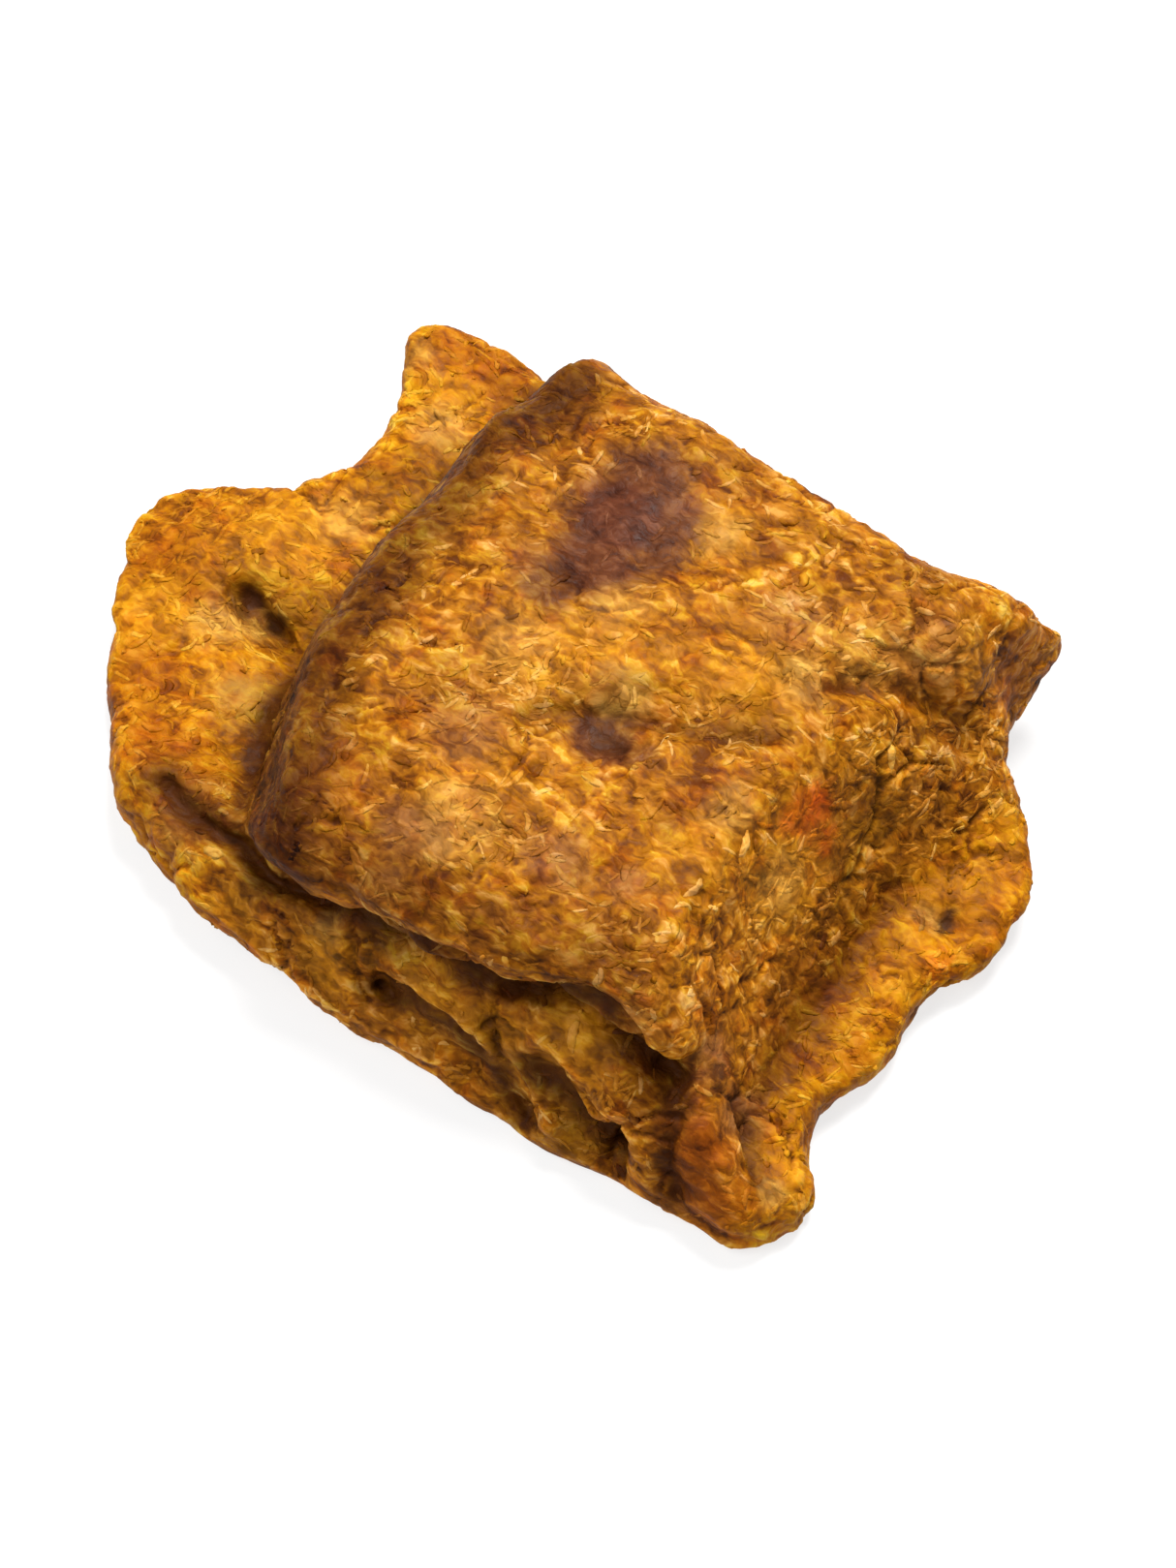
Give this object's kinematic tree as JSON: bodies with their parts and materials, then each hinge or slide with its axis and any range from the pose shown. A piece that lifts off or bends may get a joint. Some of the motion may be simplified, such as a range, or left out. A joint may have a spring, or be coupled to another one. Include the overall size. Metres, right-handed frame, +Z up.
{
  "type": "dried camel meat cube",
  "caption": "Chunk of minced, pressed and air-dried meat: a pillow-shaped body with pleated sides and a thin torn flap at each end.",
  "frame": {"origin": "on the flat underside, below the middle of the pillow", "axes": "+X along the strip that the cube was cut from, towards the narrow flap; +Y towards the plain back; +Z up from the flat underside"},
  "size_m": [0.0461, 0.034, 0.0122],
  "materials": {
    "dried_meat": "dry, grainy amber-brown meat with a slight oily sheen"
  },
  "bodies": {
    "root": {"meat_cube": "dried_meat"}
  },
  "joints": []
}
